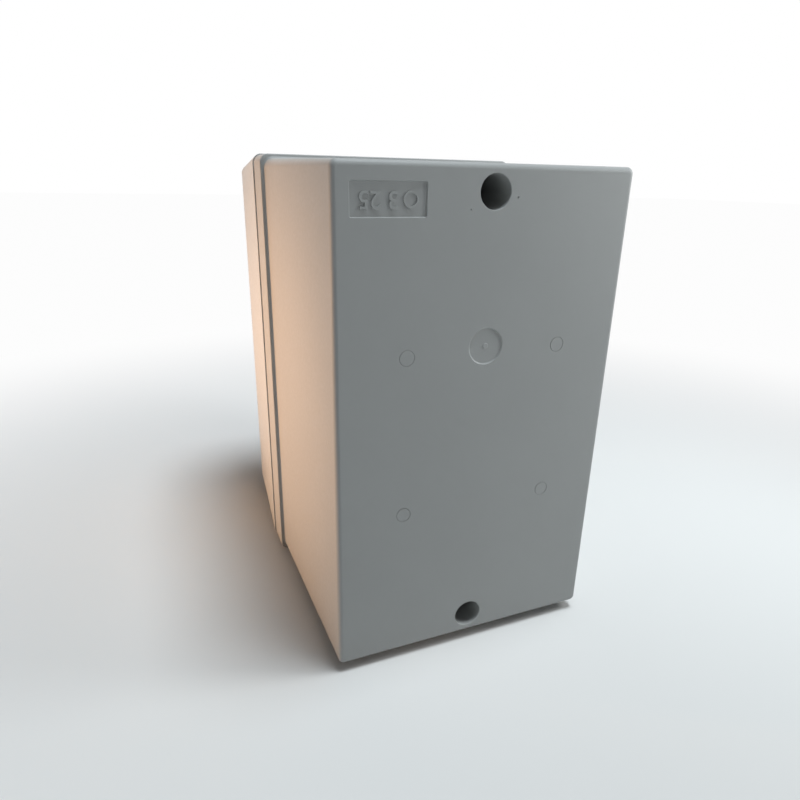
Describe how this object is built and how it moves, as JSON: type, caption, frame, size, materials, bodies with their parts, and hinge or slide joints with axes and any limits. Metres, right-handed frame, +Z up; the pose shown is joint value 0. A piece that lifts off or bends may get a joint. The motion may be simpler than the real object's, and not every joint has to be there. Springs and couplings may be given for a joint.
{
  "type": "magnetic motor starter",
  "caption": "Wall-mounted magnetic motor starter: moulded box with drafted rear housing and lift-off cover, start and stop push buttons, contactor and thermal overload relay on a rail.",
  "frame": {"origin": "centre of the flat back face", "axes": "+Z up, +X to the right seen from the front, +Y out of the back towards the wall; the front faces -Y"},
  "size_m": [0.1, 0.1533, 0.16],
  "materials": {
    "housing_plastic": "fine spark-eroded satin",
    "cover_plastic": "semi-gloss moulded",
    "gasket_rubber": "matt",
    "zinc_screw": "bright zinc plate",
    "plate_steel": "zinc-plated sheet",
    "spring_steel": "drawn wire",
    "black_plastic": "matt",
    "green_plastic": "gloss",
    "red_plastic": "gloss",
    "white_plastic": "satin",
    "dark_plastic": "fine texture",
    "light_plastic": "fine texture",
    "slider_plastic": "matt",
    "blue_plastic": "gloss",
    "core_steel": "ground laminations",
    "copper": "bright copper alloy",
    "coil_tape": "wound tape",
    "tinned_brass": "tinned",
    "brass": "machined",
    "bimetal": "rolled strip",
    "wire_insulation": "smooth PVC"
  },
  "bodies": {
    "base": {"rear_housing": "housing_plastic", "cover_gasket": "gasket_rubber", "mounting_plate": "plate_steel", "plate_screws": "zinc_screw", "mounting_rail": "plate_steel", "earth_terminal": "brass", "earth_screws": "zinc_screw", "contactor_base": "dark_plastic", "contactor_top": "light_plastic", "arc_cover": "light_plastic", "core_pad": "gasket_rubber", "magnet_core": "core_steel", "shading_rings": "copper", "coil_bobbin": "black_plastic", "coil_winding": "coil_tape", "coil_terminals": "tinned_brass", "return_springs": "spring_steel", "line_contacts": "copper", "load_contacts": "copper", "contactor_terminal_screws": "zinc_screw", "clip_spring": "spring_steel", "start_block_housing": "dark_plastic", "start_block_spring": "spring_steel", "start_block_terminals": "tinned_brass", "relay_housing": "dark_plastic", "relay_cover": "light_plastic", "relay_pins": "copper", "bimetals": "bimetal", "heater_windings": "copper", "load_terminals": "copper", "load_terminal_screws": "zinc_screw", "relay_aux_terminals": "tinned_brass", "reset_spring": "spring_steel", "control_wires": "wire_insulation"},
    "cover": {"front_cover": "cover_plastic", "cover_screws": "zinc_screw", "start_bezel": "black_plastic", "start_nut": "black_plastic", "start_seal": "gasket_rubber", "start_spring": "spring_steel", "stop_bezel": "black_plastic", "stop_nut": "black_plastic", "stop_seal": "gasket_rubber", "stop_spring": "spring_steel"},
    "start_push": {"start_button": "green_plastic", "start_stem": "white_plastic"},
    "stop_push": {"stop_button": "red_plastic", "stop_stem": "white_plastic"},
    "carrier": {"contact_carrier": "dark_plastic", "armature": "core_steel", "armature_pin": "zinc_screw", "moving_contacts": "copper", "contact_springs": "spring_steel"},
    "block_plunger": {"start_block_plunger": "white_plastic", "start_block_bridge": "copper"},
    "reset_push": {"reset_button": "blue_plastic"},
    "dial": {"setting_dial": "white_plastic"},
    "slider": {"trip_slider": "slider_plastic"},
    "lever": {"trip_lever": "white_plastic"},
    "clip": {"rail_clip": "plate_steel"}
  },
  "joints": [
    {"name": "cover_lift", "type": "slide", "parent": "base", "child": "cover", "axis": [0, -1, 0], "range_m": [0, 0.15]},
    {"name": "start_press", "type": "slide", "parent": "cover", "child": "start_push", "axis": [0, 1, 0], "range_m": [0, 0.005], "stiffness_N_per_m": 600, "springref_m": -0.008, "deforming": ["start_spring"]},
    {"name": "stop_press", "type": "slide", "parent": "cover", "child": "stop_push", "axis": [0, 1, 0], "range_m": [0, 0.005], "stiffness_N_per_m": 600, "springref_m": -0.008, "deforming": ["stop_spring"]},
    {"name": "carrier_travel", "type": "slide", "parent": "base", "child": "carrier", "axis": [0, 1, 0], "range_m": [0, 0.0045], "stiffness_N_per_m": 1500, "springref_m": -0.006, "deforming": ["return_springs"]},
    {"name": "block_press", "type": "slide", "parent": "base", "child": "block_plunger", "axis": [0, 1, 0], "range_m": [0, 0.005], "stiffness_N_per_m": 250, "springref_m": -0.006, "deforming": ["start_block_spring"]},
    {"name": "reset_press", "type": "slide", "parent": "base", "child": "reset_push", "axis": [0, 1, 0], "range_m": [0, 0.005], "stiffness_N_per_m": 250, "springref_m": -0.006, "deforming": ["reset_spring"]},
    {"name": "dial_turn", "type": "hinge", "parent": "base", "child": "dial", "pos_m": [-0.012, -0.08, -0.022], "axis": [0, -1, 0], "range_deg": [-120, 120]},
    {"name": "trip_slide", "type": "slide", "parent": "base", "child": "slider", "axis": [1, 0, 0], "range_m": [0, 0.0015], "stiffness_N_per_m": 10, "springref_m": -0.003},
    {"name": "trip_swing", "type": "hinge", "parent": "base", "child": "lever", "pos_m": [0.0166, -0.069, -0.031], "axis": [0, 0, -1], "range_deg": [0, 12.28]},
    {"name": "clip_release", "type": "slide", "parent": "base", "child": "clip", "axis": [0, 0, -1], "range_m": [0, 0.003], "stiffness_N_per_m": 800, "springref_m": -0.006, "deforming": ["clip_spring"]}
  ],
  "couplings": [
    {"joint": "block_press", "follows": "start_press", "ratio": 1},
    {"joint": "reset_press", "follows": "stop_press", "ratio": 1},
    {"joint": "trip_swing", "follows": "trip_slide", "rad_per_m": 142.86}
  ]
}
